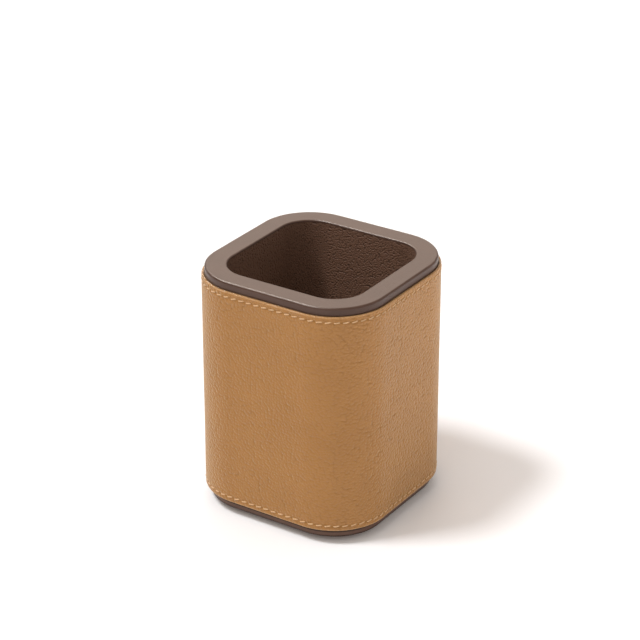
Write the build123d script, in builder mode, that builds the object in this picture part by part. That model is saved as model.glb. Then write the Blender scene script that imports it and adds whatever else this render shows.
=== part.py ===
"""Rounded-square pen holder: a stiff tube wrapped in a stitched leather sleeve, lined with leather,
closed by a rim ring above and a base plate on four feet below.

The frame has +Z up. The origin is on the table, under the middle of the cup.
"""
from build123d import *
import os
from math import radians, tan

os.makedirs("parts", exist_ok=True)

# Driving dimensions in millimetres
side = 80.0
corner_radius = 23.0
overall_height = 101.0

leather_thickness = 1.2
backing_thickness = 0.8
core_wall = 6.5
liner_thickness = 1.2
glue_gap = 0.1
seam_gap = 0.3

rim_thickness = 3.3
rim_lip_thickness = 1.2
rim_overhang = 0.2
rim_outer_round = 1.0
rim_inner_round = 0.9
tongue_width = 2.4
tongue_depth = 2.5
tongue_clearance = 0.15

base_thickness = 4.0
base_round = 0.5
floor_thickness = 6.0
floor_rebate = 2.5
floor_clearance = 0.15
pad_clearance = 0.2

stitch_pitch = 3.45
stitch_length = 2.6
stitch_slant = 12.0
stitch_edge_distance = 2.2
thread_width = 0.7
thread_thickness = 0.5
thread_clearance = 0.05
groove_width = 1.4
groove_depth = 0.6
sleeve_edge_round = 0.35

foot_height = 2.0
foot_diameter = 12.0
foot_recess = 0.8
foot_clearance = 0.1
foot_round = 0.4
foot_inset = 16.0

screw_inset = 14.0
screw_diameter = 3.0
screw_head_diameter = 6.0
screw_head_angle = 90.0
screw_length = 8.5
screw_point = 1.5
screw_clearance = 0.1
screw_slot_width = 0.7
screw_slot_depth = 0.9

# Levels from the table upwards
base_bottom_z = foot_height
base_top_z = base_bottom_z + base_thickness
floor_top_z = base_top_z + floor_thickness
rim_bottom_z = overall_height - rim_thickness
liner_top_z = overall_height - rim_lip_thickness - glue_gap
sleeve_height = rim_bottom_z - base_top_z
lower_stitch_z = base_top_z + stitch_edge_distance
upper_stitch_z = rim_bottom_z - stitch_edge_distance

# Layers of the wall, each as its distance in from the outside of the sleeve
backing_inset = leather_thickness + glue_gap
core_inset = backing_inset + backing_thickness + glue_gap
bore_inset = core_inset + core_wall
liner_inset = bore_inset + glue_gap
well_inset = liner_inset + liner_thickness
rim_inner_inset = well_inset + rim_overhang
tongue_inset = core_inset + (core_wall - tongue_width) / 2
thread_inset = groove_depth - thread_clearance - thread_thickness

# Places of the feet and screws on the base plate
base_half = side / 2 - core_inset
foot_offset = base_half - foot_inset
screw_offset = base_half - screw_inset


def plan_outline(inset, mode=Mode.ADD):
    """Draw the cup's rounded-square plan, moved in from the outside of the sleeve by inset."""
    width = side - 2 * inset
    RectangleRounded(width, width, corner_radius - inset, mode=mode)


def plan_ring(outer_inset, inner_inset):
    """Draw the band of the plan that lies between two insets."""
    plan_outline(outer_inset)
    plan_outline(inner_inset, mode=Mode.SUBTRACT)


def stitch_planes(height):
    """Planes facing out of the sleeve's groove, one for each stitch, starting beside the back seam."""
    with BuildSketch(Plane.XY.offset(height)) as level:
        plan_outline(thread_inset)
    path = level.sketch.face().outer_wire()
    seam = path.param_at_point((0, side / 2 - thread_inset, height))
    count = round(path.length / stitch_pitch)
    planes = []
    for index in range(count):
        along = (seam + (index + 0.5) / count) % 1
        tangent = path % along
        outward = tangent.cross(Vector(0, 0, 1))
        planes.append(Plane(origin=path @ along, x_dir=tangent, z_dir=outward))
    return planes


# Core tube: the stiff wall, with a groove for the rim above and a rebate for the floor below
with BuildPart() as core_tube:
    with BuildSketch(Plane.XY.offset(base_top_z)):
        plan_ring(core_inset, bore_inset)
    extrude(amount=sleeve_height)
    with BuildSketch(Plane.XY.offset(rim_bottom_z)):
        plan_ring(tongue_inset - tongue_clearance, tongue_inset + tongue_width + tongue_clearance)
    extrude(amount=-tongue_depth - tongue_clearance, mode=Mode.SUBTRACT)
    with BuildSketch(Plane.XY.offset(base_top_z)):
        plan_outline(bore_inset - floor_rebate)
    extrude(amount=floor_thickness, mode=Mode.SUBTRACT)
core_tube.part.label = "core_tube"
export_step(core_tube.part, "parts/core_tube.step")

# Core floor: the board in the tube's rebate, with pilot holes for the base screws
with BuildPart() as core_floor:
    with BuildSketch(Plane.XY.offset(base_top_z)):
        plan_outline(bore_inset - floor_rebate + floor_clearance)
        with PolarLocations(screw_offset, 4):
            Circle(screw_diameter / 2 + screw_clearance, mode=Mode.SUBTRACT)
    extrude(amount=floor_thickness)
core_floor.part.label = "core_floor"
export_step(core_floor.part, "parts/core_floor.step")

# Sleeve backing: fibre board between the core and the leather
with BuildPart() as sleeve_backing:
    with BuildSketch(Plane.XY.offset(base_top_z)):
        plan_ring(backing_inset, backing_inset + backing_thickness)
    extrude(amount=sleeve_height)
sleeve_backing.part.label = "sleeve_backing"
export_step(sleeve_backing.part, "parts/sleeve_backing.step")

# Outer sleeve: a leather strip with two stitch grooves and its ends butted at the middle of the back
with BuildPart() as outer_sleeve:
    with BuildSketch(Plane.XY.offset(base_top_z)):
        plan_ring(0, leather_thickness)
    extrude(amount=sleeve_height)
    sleeve_faces = outer_sleeve.faces().filter_by(Axis.Z)
    fillet([face.outer_wire().edges() for face in sleeve_faces], sleeve_edge_round)
    for groove_z in (lower_stitch_z, upper_stitch_z):
        with BuildSketch(Plane.XY.offset(groove_z)):
            plan_ring(-leather_thickness, groove_depth)
        extrude(amount=groove_width / 2, both=True, mode=Mode.SUBTRACT)
    with BuildSketch(Plane.XY.offset(base_top_z)):
        with Locations((0, side / 2)):
            Rectangle(seam_gap, 4 * leather_thickness)
    extrude(amount=sleeve_height, mode=Mode.SUBTRACT)
outer_sleeve.part.label = "outer_sleeve"
export_step(outer_sleeve.part, "parts/outer_sleeve.step")

# Stitching: short slanted lengths of thread lying in the grooves of the sleeve
upper_row = stitch_planes(upper_stitch_z)
with BuildPart() as upper_stitching:
    with BuildSketch(*upper_row):
        SlotOverall(stitch_length, thread_width, rotation=stitch_slant)
    extrude(amount=-thread_thickness)
upper_stitching.part.label = "upper_stitching"
export_step(upper_stitching.part, "parts/upper_stitching.step")

lower_row = stitch_planes(lower_stitch_z)
with BuildPart() as lower_stitching:
    with BuildSketch(*lower_row):
        SlotOverall(stitch_length, thread_width, rotation=stitch_slant)
    extrude(amount=-thread_thickness)
lower_stitching.part.label = "lower_stitching"
export_step(lower_stitching.part, "parts/lower_stitching.step")

# Liner wall: a leather strip round the well, tucked under the rim, butted at the middle of the front wall
with BuildPart() as liner_wall:
    with BuildSketch(Plane.XY.offset(floor_top_z)):
        plan_ring(liner_inset, well_inset)
        with Locations((0, liner_inset - side / 2)):
            Rectangle(seam_gap, 4 * liner_thickness, mode=Mode.SUBTRACT)
    extrude(amount=liner_top_z - floor_top_z)
liner_wall.part.label = "liner_wall"
export_step(liner_wall.part, "parts/liner_wall.step")

# Liner floor: a leather pad on the floor board, inside the liner wall
with BuildPart() as liner_floor:
    with BuildSketch(Plane.XY.offset(floor_top_z)):
        plan_outline(well_inset + pad_clearance)
    extrude(amount=liner_thickness)
liner_floor.part.label = "liner_floor"
export_step(liner_floor.part, "parts/liner_floor.step")

# Rim ring: a wide flat ring with rounded edges, a lip over the liner and a tongue in the core's groove
with BuildPart() as rim_ring:
    with BuildSketch(Plane.XY.offset(rim_bottom_z)):
        plan_ring(leather_thickness, rim_inner_inset)
    extrude(amount=rim_thickness)
    rim_top = rim_ring.faces().sort_by(Axis.Z)[-1]
    fillet(rim_top.outer_wire().edges(), rim_outer_round)
    rim_top = rim_ring.faces().sort_by(Axis.Z)[-1]
    fillet(rim_top.inner_wires()[0].edges(), rim_inner_round)
    with BuildSketch(Plane.XY.offset(rim_bottom_z)):
        plan_ring(bore_inset, rim_inner_inset + rim_overhang)
    extrude(amount=rim_thickness - rim_lip_thickness, mode=Mode.SUBTRACT)
    with BuildSketch(Plane.XY.offset(rim_bottom_z)):
        plan_ring(tongue_inset, tongue_inset + tongue_width)
    extrude(amount=-tongue_depth)
rim_ring.part.label = "rim_ring"
export_step(rim_ring.part, "parts/rim_ring.step")

# Base plate: set in level with the core, with foot recesses and countersunk screw holes below
base_underside = Plane(origin=(0, 0, base_bottom_z), x_dir=(1, 0, 0), z_dir=(0, 0, -1))
with BuildPart() as base_plate:
    with BuildSketch(Plane.XY.offset(base_bottom_z)):
        plan_outline(core_inset)
    extrude(amount=base_thickness)
    base_bottom = base_plate.faces().sort_by(Axis.Z)[0]
    fillet(base_bottom.outer_wire().edges(), base_round)
    with Locations(base_underside):
        with GridLocations(2 * foot_offset, 2 * foot_offset, 2, 2):
            Hole(foot_diameter / 2 + foot_clearance, depth=foot_recess)
        with PolarLocations(screw_offset, 4):
            CounterSinkHole(
                screw_diameter / 2 + screw_clearance,
                screw_head_diameter / 2 + screw_clearance,
                depth=base_thickness,
                counter_sink_angle=screw_head_angle,
            )
base_plate.part.label = "base_plate"
export_step(base_plate.part, "parts/base_plate.step")

# Base screws: countersunk wood screws with a cross slot, from the base plate up into the floor board
screw_radius = screw_diameter / 2
head_radius = screw_head_diameter / 2
head_depth = (head_radius - screw_radius) / tan(radians(screw_head_angle / 2))
with BuildPart() as screw:
    with BuildSketch(Plane.XZ):
        with BuildLine():
            Polyline(
                (0, 0),
                (head_radius, 0),
                (screw_radius, head_depth),
                (screw_radius, screw_length - screw_point),
                (0, screw_length),
                close=True,
            )
        make_face()
    revolve(axis=Axis.Z)
    with BuildSketch():
        Rectangle(screw_diameter, screw_slot_width)
        Rectangle(screw_slot_width, screw_diameter)
    extrude(amount=screw_slot_depth, mode=Mode.SUBTRACT)
with BuildPart(Plane.XY.offset(base_bottom_z)) as base_screws:
    with PolarLocations(screw_offset, 4):
        add(screw.part)
base_screws.part.label = "base_screws"
export_step(base_screws.part, "parts/base_screws.step")

# Feet: four discs pressed into the recesses of the base plate
foot_places = {
    "foot_front_left": (-foot_offset, -foot_offset),
    "foot_front_right": (foot_offset, -foot_offset),
    "foot_rear_left": (-foot_offset, foot_offset),
    "foot_rear_right": (foot_offset, foot_offset),
}
for foot_name, foot_place in foot_places.items():
    with BuildPart() as foot:
        with BuildSketch():
            with Locations(foot_place):
                Circle(foot_diameter / 2)
        extrude(amount=foot_height + foot_recess)
        fillet(foot.edges().group_by(Axis.Z)[0], foot_round)
    foot.part.label = foot_name
    export_step(foot.part, f"parts/{foot_name}.step")
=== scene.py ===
"""Looks of the pen holder: a stitched tan leather sleeve, a satin brown rim and base, a grained lining.

Every ring-shaped piece is a profile carried round one rounded-square plan. A place on it is given by
its run (metres along the outside of the sleeve, anticlockwise from the middle of the back), its inset
(metres in from the outside of the sleeve) and its height.
"""
import math

import bpy
import numpy as np
from bpy.props import FloatProperty, FloatVectorProperty, IntProperty, PointerProperty
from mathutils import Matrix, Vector


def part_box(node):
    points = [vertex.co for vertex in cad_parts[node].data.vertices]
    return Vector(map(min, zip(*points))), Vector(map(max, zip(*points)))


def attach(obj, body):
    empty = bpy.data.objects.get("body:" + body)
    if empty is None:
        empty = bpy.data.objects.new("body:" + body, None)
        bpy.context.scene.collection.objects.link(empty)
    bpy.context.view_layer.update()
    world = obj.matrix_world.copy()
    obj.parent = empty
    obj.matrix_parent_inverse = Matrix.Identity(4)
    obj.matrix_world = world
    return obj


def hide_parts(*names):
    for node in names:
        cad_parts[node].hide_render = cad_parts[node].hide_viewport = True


bl_info = {
    "name": "Leather pen holder",
    "version": (1, 0, 0),
    "blender": (4, 5, 0),
    "location": "View3D > Sidebar > Pen holder",
    "description": "Dresses the pen holder in leather, thread and satin brown, and sets a plain stage",
    "category": "Object",
}

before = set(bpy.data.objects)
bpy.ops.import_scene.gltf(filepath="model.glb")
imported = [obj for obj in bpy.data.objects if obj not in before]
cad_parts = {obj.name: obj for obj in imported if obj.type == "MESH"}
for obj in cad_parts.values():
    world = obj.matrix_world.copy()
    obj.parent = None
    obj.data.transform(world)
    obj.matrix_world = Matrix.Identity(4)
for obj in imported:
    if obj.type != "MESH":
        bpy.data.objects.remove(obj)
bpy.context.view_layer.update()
SLEEVE_LOW, SLEEVE_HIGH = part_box("outer_sleeve")
RIM_LOW, RIM_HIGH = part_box("rim_ring")
LINER_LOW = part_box("liner_wall")[0]
PAD_LOW, PAD_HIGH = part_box("liner_floor")
BODY = "root"
MM = 0.001
PHOTO_WIDTH = 640
SENSOR = 36.0
# Places of the colour sockets on a Mix node, whose names are the same for numbers and vectors.
MIX_FIRST, MIX_SECOND, MIX_RESULT = 6, 7, 2


# Sizes and colours


def length(name, description, default):
    """A property for a length in metres."""
    return FloatProperty(name=name, description=description, default=default, unit="LENGTH", precision=5)


def angle(name, description, degrees):
    """A property for an angle, given here in degrees."""
    return FloatProperty(
        name=name, description=description, default=math.radians(degrees), subtype="ANGLE"
    )


def factor(name, description, default):
    """A property for a plain number."""
    return FloatProperty(name=name, description=description, default=default)


def colour(name, description, default):
    """A property for a linear colour."""
    return FloatVectorProperty(
        name=name, description=description, default=default, size=3, subtype="COLOR", min=0.0, max=1.0
    )


class PenHolderShape(bpy.types.PropertyGroup):
    """Sizes of the visible layers."""

    half_width: length("Half width", "Middle of the cup to the outside of the sleeve", SLEEVE_HIGH.x)
    corner_radius: length("Corner radius", "Plan radius at the outside of the sleeve", 23 * MM)
    sleeve_bottom: length("Sleeve bottom", "Height of the sleeve's lower edge", SLEEVE_LOW.z)
    sleeve_top: length("Sleeve top", "Height of the sleeve's upper edge", SLEEVE_HIGH.z)
    leather: length("Leather", "Thickness of the sleeve's leather", SLEEVE_HIGH.x - RIM_HIGH.x)
    leather_round: length("Leather edge round", "Radius of the sleeve's upper outer edge", 0.60 * MM)
    inner_round: length("Leather inner round", "Radius of the sleeve's inner edges", 0.2 * MM)
    # The dark inner part of the cut flats is partly burnishing and partly painted shade in the gaps against
    # the rim and above the base.
    burnish_and_shade_inset: length("Burnish", "Outside of the sleeve to the burnished flat of its cut edges", 0.78 * MM)
    burnish_and_shade_fade: length("Burnish fade", "Width over which the burnishing fades in", 0.18 * MM)
    swell: length("Swell", "Rise of the leather between a stitch row and its edge", 0.02 * MM)
    swell_place: length("Swell place", "Edge of the sleeve to the middle of the swell", 1.1 * MM)
    swell_width: length("Swell width", "Half width of the swell", 0.8 * MM)
    wave: length("Wave", "Depth of the slow waves in the sleeve's face", 0.020 * MM)
    ripple: length("Ripple", "Depth of the quicker waves in the sleeve's face", 0.012 * MM)
    pull: length("Pull", "Length over which the grain gets flatter towards a corner", 12 * MM)
    seam_gap: length("Seam gap", "Gap between the butted ends of a leather strip", 0.3 * MM)
    rim_top: length("Rim top", "Height of the rim's flat top", RIM_HIGH.z)
    rim_width: length("Rim width", "Width of the rim's top", 8.85 * MM)
    rim_outer_round: length("Rim outer round", "Radius of the rim's outer top edge", 0.85 * MM)
    rim_inner_round: length("Rim inner round", "Radius of the rim's inner top edge", 0.70 * MM)
    rim_lower_round: length("Rim lower round", "Radius of the rim's outer lower edge", 0.3 * MM)
    lip: length("Lip", "Thickness of the rim's lip over the edge of the liner", 0.80 * MM)
    lip_round: length("Lip round", "Radius of the lower edge of the rim's lip", 0.08 * MM)
    lip_gap: length("Lip gap", "Gap between the rim's lip and the edge of the liner", 0.02 * MM)
    tongue_bottom: length("Tongue bottom", "Height of the underside of the rim's tongue", RIM_LOW.z)
    tongue_inset: length("Tongue inset", "Outside of the sleeve to the rim's tongue", 4.25 * MM)
    tongue_width: length("Tongue width", "Width of the rim's tongue", 2.4 * MM)
    well_inset: length("Well inset", "Outside of the sleeve to the face of the liner", 10.0 * MM)
    liner: length("Liner", "Thickness of the liner's leather", PAD_HIGH.z - PAD_LOW.z)
    liner_top_round: length("Liner top round", "Radius of the liner's upper inner edge", 0.05 * MM)
    liner_foot_round: length("Liner foot round", "Radius of the liner's lower inner edge", 0.3 * MM)
    glue: length("Glue", "Gap between a leather and the board under it", 0.1 * MM)
    liner_bottom: length("Liner bottom", "Height of the liner wall's lower edge", LINER_LOW.z)
    pad_half: length("Pad half width", "Middle of the cup to the edge of the floor pad", PAD_HIGH.x)
    pad_round: length("Pad round", "Height of the round on the floor pad's upper edge", 0.35 * MM)


class PenHolderStitches(bpy.types.PropertyGroup):
    """Sizes of the two rows of saddle stitches."""

    count: IntProperty(name="Count", description="Stitches in one row", default=81, min=8)
    edge_distance: length("Edge distance", "Edge of the sleeve to the middle of its row", 2.1 * MM)
    fill: factor("Fill", "Length of a stitch as a share of the pitch", 0.80)
    slant: angle("Slant", "Turn of a stitch out of the line of its row", 12.0)
    thread: length("Thread", "Thickness of the thread", 0.54 * MM)
    taper: factor("Taper", "How much a stitch narrows at its ends, as a share", 0.35)
    rise: factor("Rise", "Half height of a stitch's section as a share of the thread", 0.42)
    bedding: length("Bedding", "How far the middle line of a stitch lies in the leather", 0.03 * MM)
    sink: length("Sink", "How much deeper the ends of a stitch go into the leather", 0.5 * MM)
    vary_length: factor("Vary length", "How much stitches differ in length, as a share", 0.03)
    vary_slant: angle("Vary slant", "How much stitches differ in slant", 2.0)
    vary_place: length("Vary place", "How far stitches stray up or down from their row", 0.03 * MM)
    groove: length("Groove", "Depth of the pressed line under a row", 0.14 * MM)
    groove_width: length("Groove width", "Half width of the pressed line", 0.75 * MM)
    hole: length("Hole", "Depth of the leather pulled in at a needle hole", 0.28 * MM)
    hole_width: length("Hole width", "Half width of that dent along the row", 0.38 * MM)
    hole_height: length("Hole height", "Half width of that dent across the row", 0.42 * MM)


class PenHolderColours(bpy.types.PropertyGroup):
    """Colours of the finishes."""

    tan: colour("Tan", "Leather of the sleeve", (0.353, 0.164, 0.039))
    # The deep tan is partly random tone and partly painted shade in the grain's creases.
    tan_dark_and_crease_shade: colour("Deep tan", "Creases of the sleeve's grain", (0.317, 0.144, 0.033))
    # The tan edge colour is partly paler cut leather and partly a painted highlight on the rounded edges.
    tan_edge_and_highlight: colour("Tan edge", "Rounded edges of the sleeve", (0.47, 0.26, 0.11))
    tan_sheen: colour("Tan sheen", "Soft shine of the sleeve, seen at a slant", (1.0, 0.90, 0.60))
    # Partly burnished leather, partly painted shade in the gaps against the rim and above the base.
    burnished_and_shaded: colour("Burnished", "Flat of the sleeve's cut edges", (0.090, 0.038, 0.016))
    thread: colour("Thread", "Stitching thread", (0.71, 0.47, 0.25))
    # Painted shade in the grooves between the plies, with some random tone.
    thread_dark_and_groove_shade: colour("Deep thread", "Between the plies of the thread", (0.55, 0.335, 0.16))
    satin_brown: colour("Satin brown", "Rim", (0.066, 0.034, 0.023))
    satin_brown_pale: colour("Pale satin brown", "Rubbed places of the rim", (0.078, 0.041, 0.028))
    # The pale edge paint is a lit copy of the edge paint: a painted reflection of the bright floor on the
    # base's face. Where the dark paint lies above and below it, it stands for painted shade.
    edge_paint: colour("Edge paint", "Painted edge of the base", (0.030, 0.012, 0.006))
    edge_paint_lit: colour("Pale edge paint", "Rubbed face of the base", (0.110, 0.056, 0.036))
    suede: colour("Suede", "Underside of the base", (0.20, 0.15, 0.12))
    liner: colour("Liner", "Grained leather in the well", (0.196, 0.108, 0.071))
    # Painted shade in the creases of the liner's grain.
    liner_crease_shade: colour("Deep liner", "Creases of the liner's grain", (0.137, 0.073, 0.046))
    board: colour("Board", "Fibre board of the core", (0.34, 0.22, 0.12))
    rubber: colour("Rubber", "Feet", (0.018, 0.016, 0.015))
    steel: colour("Steel", "Screws", (0.60, 0.60, 0.58))


class PenHolderStage(bpy.types.PropertyGroup):
    """Camera, light and floor."""

    azimuth: angle("Azimuth", "Camera's turn to the right of the front", 33.35)
    elevation: angle("Elevation", "Camera's height above the horizon", 27.32)
    distance: length("Distance", "Camera to the middle of the cup", 0.95)
    middle: length("Middle", "Height of the point the camera circles", 0.05)
    focal: factor("Focal length", "Focal length in pixels of the square picture", 2395.9)
    rise: angle("Rise", "Camera's tilt above the middle of the cup", 1.315)
    swing: angle("Swing", "Camera's turn off the middle of the cup", -0.045)
    key_side: angle("Key side", "Key light's turn to the left of the camera", 83.0)
    key_height: angle("Key height", "Key light's height above the horizon", 62.5)
    key_spread: angle("Key spread", "Width of the key light, seen from the cup", 13.0)
    key_power: factor("Key power", "Strength of the key light", 1.9)
    back_side: angle("Back side", "Back light's turn to the left of the camera", 180.0)
    back_height: angle("Back height", "Back light's height above the horizon", 33.0)
    back_power: factor("Back power", "Strength of the soft light behind the cup", 18.4)
    card_side: angle("Card side", "Card's turn to the left of the camera", -100.0)
    card_height: angle("Card height", "Card's height above the horizon", 0.3)
    card_reach: length("Card reach", "Middle of the cup to the middle of the card", 0.42)
    card_size: length("Card size", "Width of the round card", 0.6)
    card_power: factor("Card power", "Strength of the bright card that lies on the right of the cup", 1.6)
    front_side: angle("Front side", "Front light's turn to the left of the camera", 36.0)
    front_height: angle("Front height", "Front light's height above the horizon", 58.0)
    front_power: factor("Front power", "Strength of the soft light to the front left of the cup", 13.0)
    edge_side: angle("Edge side", "Edge light's turn to the left of the camera", 150.0)
    edge_height: angle("Edge height", "Edge light's height above the horizon", 54.0)
    edge_size: length("Edge size", "Width of the edge light", 1.2)
    edge_power: factor("Edge power", "Strength of the light that shows only as a shine on edges", 105.0)
    soft_reach: length("Soft reach", "Cup to the back, front and edge lights", 3.0)
    soft_size: length("Soft size", "Width of the back light and of the front light", 2.1)
    ambient: factor("Ambient", "Strength of the light from all round", 0.42)
    ambient_lean: factor("Ambient lean", "How much stronger that light is on its bright side", 0.7)
    lean_side: angle("Lean side", "Turn of that bright side to the left of the camera", -135.0)
    lean_height: angle("Lean height", "Height of that bright side above the horizon", 65.0)
    ambient_tint: colour("Ambient tint", "Colour of the light from all round", (1.0, 0.92, 0.845))
    soft_tint: colour("Soft tint", "Colour of the soft lights", (1.0, 0.92, 0.84))
    shine_tint: colour("Shine tint", "Colour of the light that shines on the rim", (1.0, 0.82, 0.69))
    key_tint: colour("Key tint", "Colour of the key light", (1.0, 0.98, 0.96))
    floor: colour("Floor", "Colour of the floor", (0.91, 0.935, 0.98))
    floor_lift: factor("Floor lift", "White added to the floor where it is seen or mirrored", 0.02)
    floor_glow: factor("Floor glow", "Light that the floor, a light table, sends up to the cup", 0.46)


# Plan and profiles


def plan_places(shape, run, inset, height):
    """Points at the given runs, insets and heights, which are arrays that stretch to one shape.

    A quarter of the plan goes from the middle of one side to the middle of the next: straight, then a
    quarter circle of the corner radius, then straight. The point on the sleeve's outside is moved in
    along its normal by the inset. Later quarters are the first one turned by right angles.
    """
    straight = shape.half_width - shape.corner_radius
    arc = shape.corner_radius * math.pi / 2
    quarter = 2 * straight + arc
    turn = np.floor(run / quarter)
    along = run - turn * quarter
    bend = np.clip((along - straight) / shape.corner_radius, 0, math.pi / 2)
    reach = shape.corner_radius - inset
    side = np.minimum(along, straight) + reach * np.sin(bend)
    out = straight + reach * np.cos(bend) - np.maximum(along - straight - arc, 0)
    heading = turn * math.pi / 2
    x = -side * np.cos(heading) - out * np.sin(heading)
    y = -side * np.sin(heading) + out * np.cos(heading)
    return np.stack([x, y, np.broadcast_to(height, x.shape)], axis=-1)


def plan_length(shape):
    """Length of the plan along the outside of the sleeve."""
    return 8 * (shape.half_width - shape.corner_radius) + 2 * math.pi * shape.corner_radius


def plan_runs(shape, per_side=8, per_corner=24):
    """Runs once round the plan, close together in the corners and wider apart on the flat sides."""
    straight = shape.half_width - shape.corner_radius
    arc = shape.corner_radius * math.pi / 2
    first = np.linspace(0, straight, per_side // 2, endpoint=False)
    corner = np.linspace(straight, straight + arc, per_corner, endpoint=False)
    last = np.linspace(straight + arc, 2 * straight + arc, per_side // 2, endpoint=False)
    quarter = np.concatenate([first, corner, last])
    return np.concatenate([quarter + turn * (2 * straight + arc) for turn in range(4)])


def strip_runs(shape, runs, seam_run):
    """Runs of an open strip whose two ends meet at seam_run, with extra runs where the ends round over."""
    total = plan_length(shape)
    near_end = shape.seam_gap / 2 + np.array([0.0, 0.06, 0.14, 0.24, 0.36, 0.5]) * MM
    clear = near_end[-1] + 0.1 * MM
    inner = np.sort((runs - seam_run) % total)
    inner = inner[(inner > clear) & (inner < total - clear)]
    return np.concatenate([near_end, inner, total - near_end[::-1]]) + seam_run


def rounded_profile(corners, radii, steps=6):
    """Closed profile through the given corners, each rounded by an arc of its radius.

    Corners are (inset, height) and go up the outer face, in over the top and down the inner face. An
    arc starts its tangent length before the corner and turns by the corner's angle.
    """
    points = np.array(corners, float) * [-1, 1]
    pieces = []
    for index, radius in enumerate(radii):
        corner = points[index]
        arriving = corner - points[index - 1]
        leaving = points[(index + 1) % len(points)] - corner
        arriving /= np.linalg.norm(arriving)
        leaving /= np.linalg.norm(leaving)
        turn = math.atan2(arriving[0] * leaving[1] - arriving[1] * leaving[0], arriving @ leaving)
        normal = np.array([arriving[1], -arriving[0]]) * math.copysign(1, turn)
        start = corner - arriving * radius * math.tan(abs(turn) / 2)
        sweep = np.linspace(0, turn, steps if radius else 1)
        spoke = np.stack(
            [
                normal[0] * np.cos(sweep) - normal[1] * np.sin(sweep),
                normal[0] * np.sin(sweep) + normal[1] * np.cos(sweep),
            ],
            axis=1,
        )
        pieces.append(start - normal * radius + spoke * radius)
    return np.concatenate(pieces) * [-1, 1]


def with_holding_points(profile, reach=0.25 * MM):
    """The profile with points added on its longer stretches, near their ends, so that flats stay flat."""
    following = np.roll(profile, -1, axis=0)
    span = np.linalg.norm(following - profile, axis=1)
    share = np.minimum(reach / span, 0.5)[:, None]
    near = profile + (following - profile) * share
    far = following - (following - profile) * share
    stacked = np.stack([profile, near, far], axis=1).reshape(-1, 2)
    wanted = np.stack([span > 0, span > 4 * reach, span > 4 * reach], axis=1).ravel()
    return stacked[wanted]


def profile_distance(profile):
    """Distance along a closed profile to each of its points, and all the way round."""
    steps = np.linalg.norm(np.roll(profile, -1, axis=0) - profile, axis=1)
    return np.concatenate([[0.0], np.cumsum(steps)])


def paired(first, second):
    """Pairs of numbers from two arrays, or an array and a number, stretched to one shape."""
    return np.stack(np.broadcast_arrays(first, second), axis=-1)


def bell(away, width):
    """A bell curve: 1 in the middle, falling off to both sides over the width."""
    return np.exp(-((away / width) ** 2))


# Meshes


def add_mesh(name, points, faces, face_sizes, uv, sharp=40.0):
    """A piece from whole arrays: points, the vertex numbers of all faces in turn, and how many each has.

    There is a UV for each of those numbers. Edges that bend by more than sharp degrees stay sharp.
    """
    mesh = bpy.data.meshes.new(name)
    mesh.vertices.add(len(points))
    mesh.vertices.foreach_set("co", np.asarray(points, np.float32).ravel())
    mesh.loops.add(len(faces))
    mesh.loops.foreach_set("vertex_index", np.asarray(faces, np.int32))
    mesh.polygons.add(len(face_sizes))
    starts = np.concatenate([[0], np.cumsum(face_sizes)[:-1]])
    mesh.polygons.foreach_set("loop_start", starts.astype(np.int32))
    mesh.update(calc_edges=True)
    layer = mesh.uv_layers.new(name="surface")
    layer.data.foreach_set("uv", np.asarray(uv, np.float32).ravel())
    mesh.polygons.foreach_set("use_smooth", np.ones(len(face_sizes), bool))
    mesh.set_sharp_from_angle(angle=math.radians(sharp))
    if mesh.validate():
        raise RuntimeError(f"the mesh of {name} has bad faces")
    piece = bpy.data.objects.new(name, mesh)
    bpy.context.scene.collection.objects.link(piece)
    return piece


def add_attribute(piece, name, values):
    """Give each point of a piece a number that its material can read."""
    attribute = piece.data.attributes.new(name, "FLOAT", "POINT")
    attribute.data.foreach_set("value", values.astype(np.float32).ravel())


def ring_cells(run_count, row_count, closed_run):
    """Vertex numbers of the quads of a grid of runs by rows, closed along the rows.

    It is closed along the runs too where that is asked for.
    """
    columns = np.arange(run_count if closed_run else run_count - 1)[:, None]
    rows = np.arange(row_count)[None, :]
    next_column = (columns + 1) % run_count
    next_row = (rows + 1) % row_count
    corner = [columns * row_count + rows, next_column * row_count + rows]
    corner += [next_column * row_count + next_row, columns * row_count + next_row]
    return np.stack(corner, axis=-1).reshape(-1, 4)


def ring_uv(runs, distances, closed_run, total):
    """UV of those quads' corners: metres along the run and metres along the profile."""
    run = np.concatenate([runs, [runs[0] + total]]) if closed_run else runs
    u0, v0 = np.meshgrid(run[:-1], distances[:-1], indexing="ij")
    u1, v1 = np.meshgrid(run[1:], distances[1:], indexing="ij")
    corner = [paired(u0, v0), paired(u1, v0), paired(u1, v1), paired(u0, v1)]
    return np.stack(corner, axis=2).reshape(-1, 2)


def add_ring(name, shape, runs, profile, relief=0.0, closed=True):
    """A profile of (inset, height) carried along the plan, with relief added to the inset at each point.

    An open strip gets its profile as the face at each end.
    """
    run, inset = np.meshgrid(runs, profile[:, 0], indexing="ij")
    height = np.broadcast_to(profile[:, 1], run.shape)
    points = plan_places(shape, run % plan_length(shape), inset + relief, height).reshape(-1, 3)
    rows = len(profile)
    cells = ring_cells(len(runs), rows, closed)
    uv = ring_uv(runs, profile_distance(profile), closed, plan_length(shape))
    faces = cells.ravel()
    sizes = np.full(len(cells), 4)
    if not closed:
        first = np.arange(rows)[::-1]
        last = np.arange(rows) + (len(runs) - 1) * rows
        faces = np.concatenate([faces, first, last])
        sizes = np.concatenate([sizes, [rows, rows]])
        uv = np.concatenate([uv, profile[::-1], profile])
    return add_mesh(name, points, faces, sizes, uv)


def dress(piece, material, slot, *nodes):
    """Give a new piece its finish, let it ride on the cup and stand for the named nodes."""
    piece.data.materials.append(material)
    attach(piece, BODY)
    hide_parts(*nodes)


def refinish(node, material):
    """Give a carried-over node a better finish."""
    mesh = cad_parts[node].data
    mesh.materials.clear()
    mesh.materials.append(material)


# Shader graphs


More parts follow.
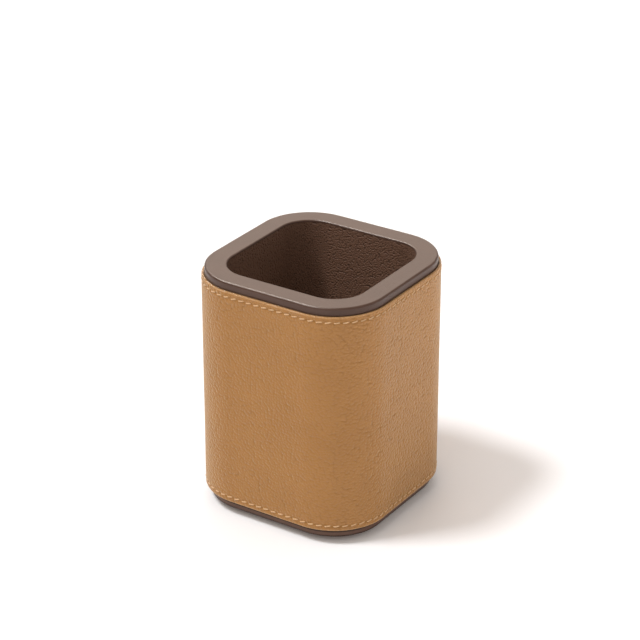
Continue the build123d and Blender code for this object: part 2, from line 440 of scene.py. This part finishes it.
class Value:
    """A shader socket that can be added, multiplied and so on; each operation adds one Math node."""

    def __init__(self, graph, socket):
        self.graph = graph
        self.socket = socket

    def _math(self, operation, first, second):
        return self.graph.node("ShaderNodeMath", {"operation": operation}, {0: first, 1: second})

    def __add__(self, other):
        return self._math("ADD", self, other)

    __radd__ = __add__

    def __sub__(self, other):
        return self._math("SUBTRACT", self, other)

    def __rsub__(self, other):
        return self._math("SUBTRACT", other, self)

    def __mul__(self, other):
        return self._math("MULTIPLY", self, other)

    __rmul__ = __mul__

    def ease(self, low, high):
        """0 below low, 1 above high and a smooth step between."""
        sockets = {"Value": self, "From Min": low, "From Max": high}
        return self.graph.node("ShaderNodeMapRange", {"interpolation_type": "SMOOTHSTEP"}, sockets)


class Graph:
    """The node tree of a material or a world, whose nodes are made one call at a time."""

    def __init__(self, owner):
        owner.use_nodes = True
        self.tree = owner.node_tree
        self.tree.nodes.clear()

    def node(self, kind, settings=None, sockets=None, output=0):
        """Make a node: its settings first, then a value or a link for each of the named sockets.

        Gives the wanted output, or nothing for a node that ends the tree.
        """
        made = self.tree.nodes.new(kind)
        for name, value in (settings or {}).items():
            setattr(made, name, value)
        for name, value in (sockets or {}).items():
            self.join(value, made.inputs[name])
        return Value(self, made.outputs[output]) if made.outputs else None

    def join(self, value, socket):
        """Link a value to a socket, or set the socket to a plain number, vector or opaque colour."""
        if isinstance(value, Value):
            self.tree.links.new(value.socket, socket)
        elif socket.type == "RGBA":
            socket.default_value = (*value, 1.0)
        else:
            socket.default_value = value


class Finish(Graph):
    """A material with one main surface, and the patterns that leather, thread and board are made of."""

    def __init__(self, name, **constants):
        self.material = bpy.data.materials.new(name)
        super().__init__(self.material)
        self.surface = self.tree.nodes.new("ShaderNodeBsdfPrincipled")
        shader = Value(self, self.surface.outputs["BSDF"])
        self.node("ShaderNodeOutputMaterial", None, {"Surface": shader})
        self.feed(**constants)

    def feed(self, **values):
        """Feed the surface's sockets with plain numbers or changing values; gives the material."""
        for name, value in values.items():
            self.join(value, self.surface.inputs[name.replace("_", " ")])
        return self.material

    def surface_mm(self):
        """Place on the piece's own UV map, in millimetres."""
        return self.scaled(self.node("ShaderNodeUVMap", {"uv_map": "surface"}), 1 / MM)

    def object_mm(self):
        """Place in the cup's frame, in millimetres."""
        return self.scaled(self.node("ShaderNodeTexCoord", output="Object"), 1 / MM)

    def attribute(self, name):
        """A number that the piece gives at each of its points."""
        return self.node("ShaderNodeAttribute", {"attribute_name": name}, output="Fac")

    def scaled(self, vector, scale):
        """A vector times a number."""
        return self.node("ShaderNodeVectorMath", {"operation": "SCALE"}, {0: vector, "Scale": scale})

    def noise(self, place, size, detail=3.0, output="Fac"):
        """Soft noise whose blots are about size millimetres across."""
        sockets = {"Vector": place, "Scale": 1 / size, "Detail": detail, "Roughness": 0.55}
        return self.node("ShaderNodeTexNoise", None, sockets, output)

    def cells(self, place, size, feature="DISTANCE_TO_EDGE", dimensions="2D", **sockets):
        """Irregular cells about size millimetres across: the distance to their borders, or as asked."""
        settings = {"feature": feature, "voronoi_dimensions": dimensions}
        sockets.update({"Vector": place, "Scale": 1 / size})
        return self.node("ShaderNodeTexVoronoi", settings, sockets, "Distance")

    def warped(self, place, size, reach):
        """The place pushed about by soft noise, up to reach millimetres."""
        push = self.noise(place, size, detail=2.0, output="Color")
        middle = (0.5, 0.5, 0.5)
        centred = self.node("ShaderNodeVectorMath", {"operation": "SUBTRACT"}, {0: push, 1: middle})
        sockets = {0: place, 1: self.scaled(centred, 2 * reach)}
        return self.node("ShaderNodeVectorMath", {"operation": "ADD"}, sockets)

    def blend(self, share, first, second):
        """A colour between two others."""
        sockets = {"Factor": share, MIX_FIRST: first, MIX_SECOND: second}
        return self.node("ShaderNodeMix", {"data_type": "RGBA"}, sockets, MIX_RESULT)

    def relief(self, height, depth):
        """A normal bent by a height of 0 to 1 that stands for depth metres."""
        return self.node("ShaderNodeBump", None, {"Distance": depth, "Height": height})


def toned(rgb, share):
    """A plain colour made darker or paler by a share."""
    return tuple(share * part for part in rgb)


def pebble_grain(finish, place, size):
    """Leather grain: soft domes of uneven size with wrinkles across them and fine pores.

    A dome falls off with the square of the distance from the middle of its cell.
    """
    bent = finish.warped(place, size=1.7 * size, reach=0.35 * size)
    away = finish.cells(bent, size, feature="SMOOTH_F1", Smoothness=0.35)
    domes = 1.0 - away * away * 1.6
    wrinkles = finish.noise(place, size=0.5 * size, detail=2.0)
    pores = finish.noise(place, size=0.14 * size, detail=2.0)
    return domes * 0.55 + wrinkles * 0.37 + pores * 0.08


def tan_leather(colours):
    """Satin tan leather: a pebble grain pulled flatter round the corners, and soft clouds.

    Its rounded edges are paler, partly as cut leather and partly as a painted highlight. The inner part of
    their cut flats is dark, partly as burnishing and partly as painted shade in the gaps against the rim
    and above the base.
    """
    finish = Finish(
        "tan_leather",
        Specular_IOR_Level=0.42,
        Sheen_Weight=0.28,
        Sheen_Roughness=0.3,
        Sheen_Tint=colours.tan_sheen,
    )
    place = finish.surface_mm()
    grain = pebble_grain(finish, place, size=1.1)
    clouds = finish.noise(place, size=16.0, detail=4.0)
    # Darker where the clouds and the grain are low: random tone, and painted shade in the creases.
    depth = (grain * 0.35 + clouds * 0.65).ease(low=0.2, high=0.8)
    tan = finish.blend(depth, colours.tan_dark_and_crease_shade, colours.tan)
    cut = finish.attribute("cut_edge")
    # Rounded edges take the paler edge colour: partly paler cut leather, partly a painted highlight.
    edged = finish.blend(cut, tan, colours.tan_edge_and_highlight)
    flatter = 1.0 - 0.10 * finish.attribute("corner")
    return finish.feed(
        # The inner part of the cut flats is dark: partly burnishing, partly painted shade.
        Base_Color=finish.blend(finish.attribute("cut_flat"), edged, colours.burnished_and_shaded),
        Roughness=0.50 - grain * 0.10 + clouds * 0.06 - cut * 0.26,
        Normal=finish.relief(grain * flatter, depth=0.62 * MM),
    )


def waxed_thread(colours):
    """Thread of twisted plies: slanting bands along each stitch, darker between the plies as painted shade.
    """
    finish = Finish("waxed_thread", Specular_IOR_Level=0.6, Sheen_Weight=0.15)
    place = finish.surface_mm()
    sockets = {"Vector": place, "Scale": 0.55, "Distortion": 0.4, "Detail": 1.0}
    plies = finish.node("ShaderNodeTexWave", {"bands_direction": "DIAGONAL"}, sockets, "Fac")
    fuzz = finish.noise(place, size=0.25)
    # Low between the plies, giving the darker colour there as painted shade; the fuzz adds random tone.
    paler = plies * 0.7 + fuzz * 0.3
    return finish.feed(
        Base_Color=finish.blend(paler, colours.thread_dark_and_groove_shade, colours.thread),
        Roughness=0.36 + fuzz * 0.14,
        Normal=finish.relief(plies, depth=0.10 * MM),
    )


def satin_brown(colours):
    """Smooth dark brown leather with a satin face, faint clouds and fine pores."""
    finish = Finish("satin_brown", Specular_IOR_Level=0.3)
    place = finish.object_mm()
    clouds = finish.noise(place, size=9.0, detail=4.0)
    pores = finish.cells(place, size=0.8, dimensions="3D").ease(low=0.0, high=0.3)
    dust = finish.noise(place, size=0.35, detail=2.0)
    rubbed = clouds.ease(low=0.3, high=0.7)
    return finish.feed(
        Base_Color=finish.blend(rubbed, colours.satin_brown, colours.satin_brown_pale),
        Roughness=0.26 + clouds * 0.08 + dust * 0.06,
        Normal=finish.relief(pores * 0.4 + dust * 0.6, depth=0.025 * MM),
    )


def painted_base(colours, low):
    """Dark edge paint with a paler band across the middle of its face, a painted reflection of the bright
    floor; the dark above that band is painted shade under the sleeve and the dark below it painted shade
    along the lower edge. Suede under the base.
    """
    finish = Finish("painted_base", Specular_IOR_Level=0.3)
    place = finish.object_mm()
    height = finish.node("ShaderNodeSeparateXYZ", None, {0: place}, "Z") - low / MM
    clouds = finish.noise(place, size=6.0, detail=4.0)
    nap = finish.noise(place, size=0.35)
    wavy_height = height + clouds * 0.3
    # A band across the middle of the face takes the lit copy as a painted reflection; the dark paint above
    # it, under the sleeve, and below it, at the lower edge, is painted shade.
    face = wavy_height.ease(low=0.65, high=1.2) * (1.0 - wavy_height.ease(low=2.0, high=2.5))
    paint = finish.blend(face, colours.edge_paint, colours.edge_paint_lit)
    under = 1.0 - height.ease(low=0.02, high=0.10)
    suede = finish.blend(nap, toned(colours.suede, 0.75), colours.suede)
    return finish.feed(
        Base_Color=finish.blend(under, paint, suede),
        Roughness=0.36 + nap * 0.08 + under * 0.5,
        Normal=finish.relief(nap, depth=0.03 * MM),
    )


def grained_liner(colours):
    """Matt dark brown leather with a bold pebble grain, darker in its creases and paler on its domes as
    painted shade and painted highlight.
    """
    finish = Finish("grained_liner", Specular_IOR_Level=0.4)
    place = finish.surface_mm()
    grain = pebble_grain(finish, place, size=0.75)
    clouds = finish.noise(place, size=12.0)
    # Creases take the darker colour and domes the paler one: painted shade and painted highlight of the
    # grain.
    raised = grain.ease(low=0.2, high=0.8)
    return finish.feed(
        Base_Color=finish.blend(raised, colours.liner_crease_shade, colours.liner),
        Roughness=0.52 - grain * 0.12 + clouds * 0.08,
        Normal=finish.relief(grain, depth=0.55 * MM),
    )


def fibre_board(colours):
    """Pressed fibre board: pale brown with short dark and light flecks."""
    finish = Finish("fibre_board", Specular_IOR_Level=0.25)
    place = finish.object_mm()
    flecks = finish.noise(place, size=0.7, detail=4.0)
    clouds = finish.noise(place, size=8.0)
    paler = flecks * 0.7 + clouds * 0.3
    return finish.feed(
        Base_Color=finish.blend(paler, toned(colours.board, 0.6), colours.board),
        Roughness=0.75 + flecks * 0.15,
        Normal=finish.relief(flecks, depth=0.05 * MM),
    )


def matt_rubber(colours):
    """Matt rubber with a fine moulded texture."""
    finish = Finish("matt_rubber", Specular_IOR_Level=0.3)
    texture = finish.noise(finish.object_mm(), size=0.3, detail=2.0)
    return finish.feed(
        Base_Color=finish.blend(texture, colours.rubber, toned(colours.rubber, 2.0)),
        Roughness=0.7 + texture * 0.2,
        Normal=finish.relief(texture, depth=0.04 * MM),
    )


def plated_steel(colours):
    """Zinc-plated steel with a faint clouding."""
    finish = Finish("plated_steel", Metallic=1.0)
    clouds = finish.noise(finish.object_mm(), size=1.5, detail=4.0)
    return finish.feed(
        Base_Color=finish.blend(clouds, toned(colours.steel, 0.7), colours.steel),
        Roughness=0.28 + clouds * 0.18,
        Normal=finish.relief(clouds, depth=0.01 * MM),
    )


# Pieces


def row_heights(shape, stitches):
    """Heights of the lower and the upper stitch row."""
    return shape.sleeve_bottom + stitches.edge_distance, shape.sleeve_top - stitches.edge_distance


def cut_edge_away(shape, height):
    """Distance from a height to the nearer cut edge of the sleeve."""
    return np.minimum(height - shape.sleeve_bottom, shape.sleeve_top - height)


def sleeve_relief(shape, stitches, run, height):
    """How far the leather's face lies in from the plan at each run and height.

    Each stitch row is a pressed line, a bell curve across the row, with a deeper round dent at each
    needle hole. The leather swells a little between the row and its edge. Slow waves and quicker ones,
    sines of the turn round the cup and of the height, cross the whole face. At the back seam the two
    ends round over.
    """
    # Waves once round the cup, then how they turn with the height, in radians for each metre.
    slow_waves, quick_waves = 7, 19
    slow_lean, slow_climb, quick_lean = 60.0, 90.0, 110.0
    slow_start = 1.3
    total = plan_length(shape)
    pitch = total / stitches.count
    hole_away = np.abs((run / pitch + 0.5) % 1 - 0.5) * pitch
    relief = np.zeros(run.shape)
    for row in row_heights(shape, stitches):
        away = height - row
        dent = bell(hole_away, stitches.hole_width) * bell(away, stitches.hole_height)
        relief += stitches.groove * bell(away, stitches.groove_width) + stitches.hole * dent
    relief -= shape.swell * bell(cut_edge_away(shape, height) - shape.swell_place, shape.swell_width)
    turn = 2 * math.pi * run / total
    slow = np.sin(slow_waves * turn + slow_lean * height) * np.sin(slow_climb * height + slow_start)
    quick = np.sin(quick_waves * turn - quick_lean * height)
    relief += shape.wave * slow + shape.ripple * quick
    end_away = np.minimum(run, total - run) - shape.seam_gap / 2
    end_round = shape.leather_round / 2
    lean = 1 - np.clip(end_away / end_round, 0, 1)
    return relief + end_round * (1 - np.sqrt(1 - lean**2))


def sleeve_profile(shape):
    """Cross-section of the sleeve: many rows near the stitching, few on the plain face between.

    The lower outer edge has half the round of the upper one.
    """
    # Distances from a rounded edge, insets on the flat of a cut edge, then starts and numbers of rows.
    fine_rows = np.arange(0.2, 4.4, 0.2) * MM
    flat_rows = np.array([0.7, 0.8, 0.88, 0.96]) * MM
    plain_start, plain_rows = 6 * MM, 24
    inner_start, inner_rows = 3 * MM, 9
    low, high = shape.sleeve_bottom, shape.sleeve_top
    corners = [(0, low), (0, high), (shape.leather, high), (shape.leather, low)]
    radii = [shape.leather_round / 2, shape.leather_round, shape.inner_round, shape.inner_round]
    rounds = np.split(rounded_profile(corners, radii), len(corners))
    fine = shape.leather_round + fine_rows
    plain = np.linspace(low + plain_start, high - plain_start, plain_rows)
    outer = paired(0.0, np.concatenate([low + fine, plain, high - fine[::-1]]))
    top = paired(flat_rows, high)
    inner = paired(shape.leather, np.linspace(high - inner_start, low + inner_start, inner_rows))
    under = paired(flat_rows[::-1], low)
    return np.concatenate([rounds[0], outer, rounds[1], top, rounds[2], inner, rounds[3], under])


class PenHolderSleeve(bpy.types.Operator):
    """Make the leather sleeve, with pressed stitch lines and its ends butted at the back"""

    bl_idname = "pen_holder.sleeve"
    bl_label = "Leather sleeve"

    def execute(self, context):
        # The relief moves only the outer share of the leather's thickness.
        runs_per_stitch, outer_share = 10, 0.45
        shape, stitches = context.scene.pen_holder_shape, context.scene.pen_holder_stitches
        total = plan_length(shape)
        count = stitches.count * runs_per_stitch
        runs = strip_runs(shape, np.arange(count) * total / count, 0.0)
        profile = sleeve_profile(shape)
        run, height = np.meshgrid(runs, profile[:, 1], indexing="ij")
        moved = profile[:, 0] < outer_share * shape.leather
        relief = sleeve_relief(shape, stitches, run, height) * moved
        piece = add_ring("tan_sleeve", shape, runs, profile, relief, closed=False)
        # Mask of the rounded cut edges, where the colour is paler, partly as a painted highlight, and the
        # leather is smoother.
        cut = np.clip(1.0 - cut_edge_away(shape, height) / shape.leather_round, 0, 1)
        # Mask of the inner part of the cut flats, made dark partly as burnishing and partly as painted
        # shade in the gaps against the rim and above the base.
        flat = np.clip((profile[:, 0] - shape.burnish_and_shade_inset) / shape.burnish_and_shade_fade, 0, 1)
        side_middle_away = np.abs((run + total / 8) % (total / 4) - total / 8)
        past_straight = side_middle_away - (shape.half_width - shape.corner_radius)
        add_attribute(piece, "cut_edge", cut)
        add_attribute(piece, "cut_flat", cut * flat)
        add_attribute(piece, "corner", np.clip(past_straight / shape.pull + 0.5, 0, 1))
        dress(piece, tan_leather(context.scene.pen_holder_colours), "tan_leather", "outer_sleeve")
        return {"FINISHED"}


def stitch_row(name, shape, stitches, row_height, material, node, seed):
    """One row of stitches, all worked out together as an array of stitches by stations by angles.

    A stitch is a tube of thread: its middle line runs straight, turned by the slant, level with the
    leather for most of its length and diving into a needle hole at each end. Its section is a flat
    ellipse that narrows to the ends. Length, slant and place differ a little from stitch to stitch.
    """
    stations, angles = 8, 7
    uv_girth = 2.0 * MM
    vary = np.random.default_rng(seed)
    pitch = plan_length(shape) / stitches.count
    number = np.arange(stitches.count)[:, None, None]
    along = np.linspace(-1, 1, stations)[None, :, None]
    around = (np.arange(angles) * 2 * math.pi / angles)[None, None, :]
    spread = vary.normal(0, 1, (3, stitches.count, 1, 1))
    half = 0.5 * pitch * stitches.fill * (1 + stitches.vary_length * spread[0])
    slant = stitches.slant + stitches.vary_slant * spread[1]
    middle = row_height + stitches.vary_place * spread[2]
    thread = stitches.thread * (1 - stitches.taper * along**4)
    across = 0.5 * thread * np.sin(around)
    out = stitches.rise * thread * np.cos(around)
    run = (number + 0.5) * pitch + half * along * np.cos(slant) - across * np.sin(slant)
    height = middle + half * along * np.sin(slant) + across * np.cos(slant)
    inset = stitches.bedding + stitches.sink * along**6 - out
    points = plan_places(shape, run, inset, height).reshape(-1, 3)
    # A ring's rows go round the other way, so its quads are turned over here.
    side = np.roll(ring_cells(stations, angles, False)[:, ::-1], 1, axis=1)
    start = np.arange(angles)[::-1]
    end = np.arange(angles) + (stations - 1) * angles
    one = np.concatenate([side.ravel(), start, end])
    faces = (one + np.arange(stitches.count)[:, None] * stations * angles).ravel()
    sizes = np.tile([4] * len(side) + [angles] * 2, stitches.count)
    uv = paired(half * along, around / (2 * math.pi) * uv_girth).reshape(-1, 2)[faces]
    piece = add_mesh(name, points, faces, sizes, uv, sharp=80.0)
    dress(piece, material, "thread", node)


class PenHolderStitching(bpy.types.Operator):
    """Make the two rows of saddle stitches"""

    bl_idname = "pen_holder.stitching"
    bl_label = "Stitching"

    def execute(self, context):
        shape, stitches = context.scene.pen_holder_shape, context.scene.pen_holder_stitches
        material = waxed_thread(context.scene.pen_holder_colours)
        lower, upper = row_heights(shape, stitches)
        stitch_row("upper_stitches", shape, stitches, upper, material, "upper_stitching", seed=11)
        stitch_row("lower_stitches", shape, stitches, lower, material, "lower_stitching", seed=12)
        return {"FINISHED"}


class PenHolderRim(bpy.types.Operator):
    """Make the rim ring, with its rounded edges, its lip and the tongue underneath"""

    bl_idname = "pen_holder.rim"
    bl_label = "Rim ring"

    def execute(self, context):
        shape = context.scene.pen_holder_shape
        inner = shape.leather + shape.rim_width
        low, high = shape.sleeve_top, shape.rim_top
        tongue_inner = shape.tongue_inset + shape.tongue_width
        rebate = shape.well_inset - shape.liner - shape.glue
        corners = [(shape.leather, low), (shape.leather, high), (inner, high), (inner, high - shape.lip)]
        corners += [(rebate, high - shape.lip), (rebate, low)]
        corners += [(tongue_inner, low), (tongue_inner, shape.tongue_bottom)]
        corners += [(shape.tongue_inset, shape.tongue_bottom), (shape.tongue_inset, low)]
        radii = [shape.rim_lower_round, shape.rim_outer_round, shape.rim_inner_round, shape.lip_round]
        radii += [0] * (len(corners) - len(radii))
        profile = with_holding_points(rounded_profile(corners, radii, steps=9))
        piece = add_ring("brown_rim", shape, plan_runs(shape), profile)
        dress(piece, satin_brown(context.scene.pen_holder_colours), "smooth_brown", "rim_ring")
        return {"FINISHED"}


def floor_pad(shape):
    """The pad: the plan at the pad's edge, shrunk towards the middle, with a rounded upper edge.

    Rings go from the middle of the underside out to the edge, up over the round and back to the middle
    of the top; the last ring of each face closes in one many-sided face.
    """
    # Shares of the pad's outline, the last one lost over the round.
    middle_rings, top_ring, round_share = [0.1, 0.6], 0.97, 0.012
    runs = plan_runs(shape)
    edge = shape.half_width - shape.pad_half
    outline = plan_places(shape, runs, np.full(runs.shape, edge), 0.0)
    low, high = shape.liner_bottom, shape.liner_bottom + shape.liner
    bend = np.linspace(0, math.pi / 2, 6)
    over = 1 - round_share * (1 - np.cos(bend))
    scale = np.concatenate([middle_rings, [1.0], over, [top_ring], middle_rings[::-1]])
    height = np.concatenate([[low] * 3, high - shape.pad_round * (1 - np.sin(bend)), [high] * 3])
    points = outline[:, None, :] * scale[None, :, None]
    points[:, :, 2] = height
    count, rings = len(runs), len(scale)
    cells = ring_cells(count, rings, True).reshape(count, rings, 4)[:, :-1].reshape(-1, 4)
    under = (np.arange(count) * rings)[::-1]
    top = np.arange(count) * rings + rings - 1
    faces = np.concatenate([cells.ravel(), under, top])
    sizes = np.concatenate([np.full(len(cells), 4), [count, count]])
    flat = points.reshape(-1, 3)
    return add_mesh("liner_pad", flat, faces, sizes, flat[faces][:, :2])


class PenHolderLiner(bpy.types.Operator):
    """Make the grained lining: the wall strip, butted at the front, and the pad on the floor"""

    bl_idname = "pen_holder.liner"
    bl_label = "Grained liner"

    def execute(self, context):
        shape = context.scene.pen_holder_shape
        material = grained_liner(context.scene.pen_holder_colours)
        outer, inner = shape.well_inset - shape.liner, shape.well_inset
        low, high = shape.liner_bottom, shape.rim_top - shape.lip - shape.lip_gap
        corners = [(outer, low), (outer, high), (inner, high), (inner, low)]
        radii = [0, 0, shape.liner_top_round, shape.liner_foot_round]
        profile = with_holding_points(rounded_profile(corners, radii))
        runs = strip_runs(shape, plan_runs(shape), plan_length(shape) / 2)
        wall = add_ring("liner_strip", shape, runs, profile, closed=False)
        dress(wall, material, "grained_brown_leather", "liner_wall")
        dress(floor_pad(shape), material, "grained_brown_leather", "liner_floor")
        return {"FINISHED"}


class PenHolderBase(bpy.types.Operator):
    """Finish the base plate, its feet and its screws"""

    bl_idname = "pen_holder.base"
    bl_label = "Base, feet and screws"

    def execute(self, context):
        colours = context.scene.pen_holder_colours
        rubber = matt_rubber(colours)
        refinish("base_plate", painted_base(colours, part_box("base_plate")[0].z))
        refinish("base_screws", plated_steel(colours))
        for node in sorted(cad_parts):
            if node.startswith("foot_"):
                refinish(node, rubber)
        return {"FINISHED"}


class PenHolderCore(bpy.types.Operator):
    """Finish the boards inside the wall and under the well"""

    bl_idname = "pen_holder.core"
    bl_label = "Core boards"

    def execute(self, context):
        board = fibre_board(context.scene.pen_holder_colours)
        for node in ("core_tube", "core_floor", "sleeve_backing"):
            refinish(node, board)
        return {"FINISHED"}


# Stage


def camera_axes(stage):
    """Unit vectors from the cup to the camera, to the picture's right and to the picture's top."""
    flat = math.cos(stage.elevation)
    back = Vector(
        (math.sin(stage.azimuth) * flat, -math.cos(stage.azimuth) * flat, math.sin(stage.elevation))
    )
    right = Vector((math.cos(stage.azimuth), math.sin(stage.azimuth), 0.0))
    return back, right, back.cross(right)


def add_camera(stage):
    """The camera, aimed a little above the middle of the cup."""
    back, right, up = camera_axes(stage)
    middle = Vector((0, 0, stage.middle))
    data = bpy.data.cameras.new("camera")
    data.sensor_width = SENSOR
    data.lens = stage.focal / PHOTO_WIDTH * SENSOR
    camera = bpy.data.objects.new("camera", data)
    camera.location = middle + back * stage.distance
    aim = middle + (up * math.tan(stage.rise) + right * math.tan(stage.swing)) * stage.distance
    camera.rotation_euler = (aim - camera.location).to_track_quat("-Z", "Y").to_euler()
    bpy.context.scene.collection.objects.link(camera)
    bpy.context.scene.camera = camera


def light_direction(stage, side, height):
    """Direction to a light that stands to the left of the camera by the side angle, at a height angle."""
    heading = stage.azimuth - side
    flat = math.cos(height)
    return Vector((math.sin(heading) * flat, -math.cos(heading) * flat, math.sin(height)))


def add_light(name, kind, direction, distance, energy, tint, **settings):
    """Make a light at a distance from the cup, pointed at it."""
    data = bpy.data.lights.new(name, kind)
    data.energy = energy
    data.color = tint
    for setting, value in settings.items():
        setattr(data, setting, value)
    light = bpy.data.objects.new(name, data)
    light.location = direction * distance
    light.rotation_euler = (-direction).to_track_quat("-Z", "Y").to_euler()
    bpy.context.scene.collection.objects.link(light)
    return light


def add_lights(stage):
    """The key light, soft disks behind, in front and for the edges, and a card face up on the floor."""
    soft, far, wide = stage.soft_tint, stage.soft_reach, {"shape": "DISK", "size": stage.soft_size}
    key = light_direction(stage, stage.key_side, stage.key_height)
    add_light("key", "SUN", key, 1.0, stage.key_power, stage.key_tint, angle=stage.key_spread)
    behind = light_direction(stage, stage.back_side, stage.back_height)
    add_light("back", "AREA", behind, far, stage.back_power, stage.shine_tint, **wide)
    beside = light_direction(stage, stage.card_side, stage.card_height)
    round_card = {"shape": "DISK", "size": stage.card_size}
    card = add_light("card", "AREA", beside, stage.card_reach, stage.card_power, soft, **round_card)
    card.rotation_euler = (math.pi, 0.0, 0.0)
    card.visible_camera = False
    card.visible_glossy = False
    in_front = light_direction(stage, stage.front_side, stage.front_height)
    add_light("front", "AREA", in_front, far, stage.front_power, soft, **wide)
    above = light_direction(stage, stage.edge_side, stage.edge_height)
    edge = add_light("edge", "AREA", above, far, stage.edge_power, soft, shape="DISK", size=stage.edge_size)
    edge.visible_diffuse = False


def add_world(stage):
    """Soft light from all round, stronger from above and from the back right."""
    world = bpy.data.worlds.new("studio")
    graph = Graph(world)
    direction = graph.node("ShaderNodeTexCoord", output="Generated")
    bright_side = light_direction(stage, stage.lean_side, stage.lean_height) * stage.ambient_lean
    both = {0: direction, 1: bright_side}
    lean = graph.node("ShaderNodeVectorMath", {"operation": "DOT_PRODUCT"}, both, "Value")
    sockets = {"Color": stage.ambient_tint, "Strength": (lean + 1.0) * stage.ambient}
    light = graph.node("ShaderNodeBackground", None, sockets)
    graph.node("ShaderNodeOutputWorld", None, {"Surface": light})
    bpy.context.scene.world = world


def pale_floor(stage):
    """A light table: it glows a little where it is seen or mirrored, and more towards the cup."""
    material = bpy.data.materials.new("pale_floor")
    graph = Graph(material)
    camera, mirror, through, light = (
        graph.node("ShaderNodeLightPath", output=f"Is {kind} Ray")
        for kind in ("Camera", "Glossy", "Transmission", "Diffuse")
    )
    strength = (camera + mirror + through) * stage.floor_lift + light * stage.floor_glow
    glow = graph.node("ShaderNodeEmission", None, {"Color": stage.key_tint, "Strength": strength})
    face = graph.node("ShaderNodeBsdfDiffuse", None, {"Color": stage.floor})
    both = graph.node("ShaderNodeAddShader", None, {0: face, 1: glow})
    graph.node("ShaderNodeOutputMaterial", None, {"Surface": both})
    return material


def add_floor(stage):
    """A wide square floor under the cup."""
    reach = 4.0
    corners = np.array([(-reach, -reach, 0), (reach, -reach, 0), (reach, reach, 0), (-reach, reach, 0)])
    floor = add_mesh("floor", corners, np.arange(4), np.array([4]), corners[:, :2])
    floor.data.materials.append(pale_floor(stage))


class PenHolderStudio(bpy.types.Operator):
    """Set the floor, the lights and the camera"""

    bl_idname = "pen_holder.studio"
    bl_label = "Stage"

    def execute(self, context):
        stage = context.scene.pen_holder_stage
        context.scene.view_settings.view_transform = "Standard"
        add_floor(stage)
        add_world(stage)
        add_camera(stage)
        add_lights(stage)
        return {"FINISHED"}


# Panel and registration

OPERATORS = (
    PenHolderBase,
    PenHolderCore,
    PenHolderSleeve,
    PenHolderStitching,
    PenHolderRim,
    PenHolderLiner,
    PenHolderStudio,
)
GROUPS = {
    "pen_holder_shape": PenHolderShape,
    "pen_holder_stitches": PenHolderStitches,
    "pen_holder_colours": PenHolderColours,
    "pen_holder_stage": PenHolderStage,
}


class PenHolderPanel(bpy.types.Panel):
    """Sizes, colours and pieces of the pen holder"""

    bl_idname = "VIEW3D_PT_pen_holder"
    bl_label = "Pen holder"
    bl_space_type = "VIEW_3D"
    bl_region_type = "UI"
    bl_category = "Pen holder"

    def draw(self, context):
        for attribute, group in GROUPS.items():
            box = self.layout.box()
            settings = getattr(context.scene, attribute)
            for name in group.__annotations__:
                box.prop(settings, name)
        for operator in OPERATORS:
            self.layout.operator(operator.bl_idname)


def register():
    """Register the classes and put their settings on the scene."""
    for made in (*GROUPS.values(), *OPERATORS, PenHolderPanel):
        bpy.utils.register_class(made)
    for attribute, group in GROUPS.items():
        setattr(bpy.types.Scene, attribute, PointerProperty(type=group))


def unregister():
    """Undo register."""
    for attribute in GROUPS:
        delattr(bpy.types.Scene, attribute)
    for made in (PenHolderPanel, *reversed(OPERATORS), *reversed(GROUPS.values())):
        bpy.utils.unregister_class(made)


def main():
    """Make every piece in order."""
    register()
    bpy.ops.pen_holder.base()
    bpy.ops.pen_holder.core()
    bpy.ops.pen_holder.sleeve()
    bpy.ops.pen_holder.stitching()
    bpy.ops.pen_holder.rim()
    bpy.ops.pen_holder.liner()
    bpy.ops.pen_holder.studio()


if __name__ == "__main__":
    main()
